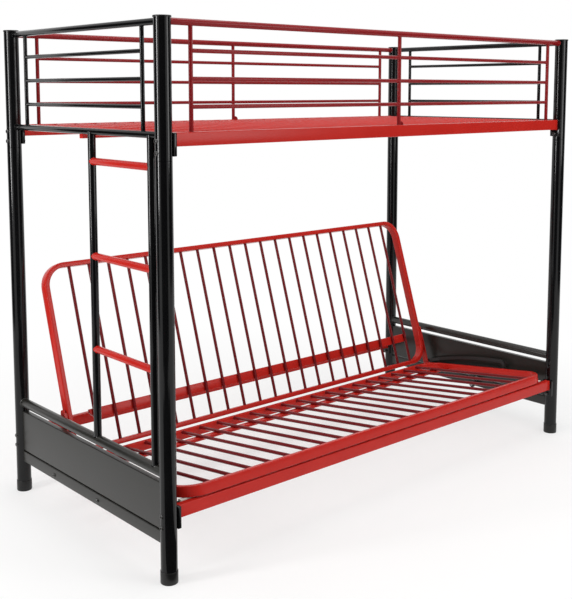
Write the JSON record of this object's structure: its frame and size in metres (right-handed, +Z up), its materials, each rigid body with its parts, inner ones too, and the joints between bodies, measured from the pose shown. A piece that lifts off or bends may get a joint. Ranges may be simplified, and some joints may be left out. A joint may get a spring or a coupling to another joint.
{
  "type": "sofa to bunk bed",
  "caption": "Metal bunk bed with a slatted upper bunk, a ladder on one end and, below, a slatted sofa whose seat slides forward and back folds flat into a double bed.",
  "frame": {"origin": "on the floor, at the middle of the length and the depth of the bed at rest as a sofa", "axes": "+X along the length, away from the ladder's end; -Y towards the front, where the seat faces; +Z up"},
  "size_m": [2.008, 0.9668, 1.642],
  "materials": {
    "black_gloss": "gloss black enamel on steel tube",
    "black_panel": "satin black enamel on folded sheet steel",
    "red_coat": "bright red gloss powder coat on steel tube",
    "black_plastic": "moulded black polypropylene",
    "zinc_steel": "zinc plated steel fastener",
    "black_bracket": "black painted plates and black plated bolts of steel",
    "nylon": "natural nylon"
  },
  "bodies": {
    "frame": {"upper_side_rail_front": "red_coat", "upper_side_rail_back": "red_coat", "lower_side_rail_front": "red_coat", "lower_side_rail_back": "red_coat", "guard_front_top_rail": "red_coat", "guard_front_uprights": "red_coat", "guard_front_bars": "red_coat", "guard_back_top_rail": "red_coat", "guard_back_uprights": "red_coat", "guard_back_bars": "red_coat", "ladder_rungs": "red_coat", "upper_slats": "red_coat", "upper_centre_bar": "red_coat", "lower_post_front_left": "black_gloss", "lower_post_front_right": "black_gloss", "lower_post_back_left": "black_gloss", "lower_post_back_right": "black_gloss", "upper_post_front_left": "black_gloss", "upper_post_front_right": "black_gloss", "upper_post_back_left": "black_gloss", "upper_post_back_right": "black_gloss", "upper_end_left_top_rail": "black_gloss", "upper_end_left_bottom_rail": "black_gloss", "upper_end_left_uprights": "black_gloss", "upper_end_left_bars": "black_gloss", "upper_end_right_top_rail": "black_gloss", "upper_end_right_bottom_rail": "black_gloss", "upper_end_right_uprights": "black_gloss", "upper_end_right_bars": "black_gloss", "lower_end_left_top_rail": "black_gloss", "lower_end_left_base_rail": "black_gloss", "lower_end_right_top_rail": "black_gloss", "lower_end_right_base_rail": "black_gloss", "ladder_stiles": "black_gloss", "lower_end_left_panel": "black_panel", "lower_end_right_panel": "black_panel", "foot_caps": "black_plastic", "top_caps": "black_plastic", "rail_nuts": "zinc_steel", "guide_nuts": "zinc_steel", "guide_spacers": "zinc_steel", "glide_pins": "zinc_steel", "post_sleeves": "zinc_steel", "rail_bolts": "black_bracket", "guide_bolts": "black_bracket", "guide_plate_left": "black_bracket", "guide_plate_right": "black_bracket", "glide_brackets": "black_bracket"},
    "glides": {"glide_pads": "nylon"},
    "seat": {"seat_frame": "red_coat", "seat_slats": "red_coat", "seat_crossbar": "red_coat", "seat_hinge_plates": "red_coat", "hinge_pins": "zinc_steel", "guide_rollers": "nylon"},
    "back": {"back_frame": "red_coat", "back_slats": "red_coat", "back_crossbar": "red_coat", "back_hinge_plates": "red_coat"}
  },
  "joints": [
    {"name": "seat_tilt", "type": "hinge", "parent": "frame", "child": "glides", "pos_m": [0, -0.435, 0.2154], "axis": [1, 0, 0], "range_deg": [0, 7.6]},
    {"name": "seat_slide", "type": "slide", "parent": "glides", "child": "seat", "axis": [0, -0.9912, 0.1323], "range_m": [0, 0.41279]},
    {"name": "back_fold", "type": "hinge", "parent": "seat", "child": "back", "pos_m": [0, 0.18845, 0.16389], "axis": [-1, 0, 0], "range_deg": [0, 79.8]}
  ],
  "couplings": [
    {"joint": "seat_tilt", "follows": "seat_slide", "rad_per_m": 0.3213},
    {"joint": "back_fold", "follows": "seat_slide", "rad_per_m": 3.374}
  ]
}
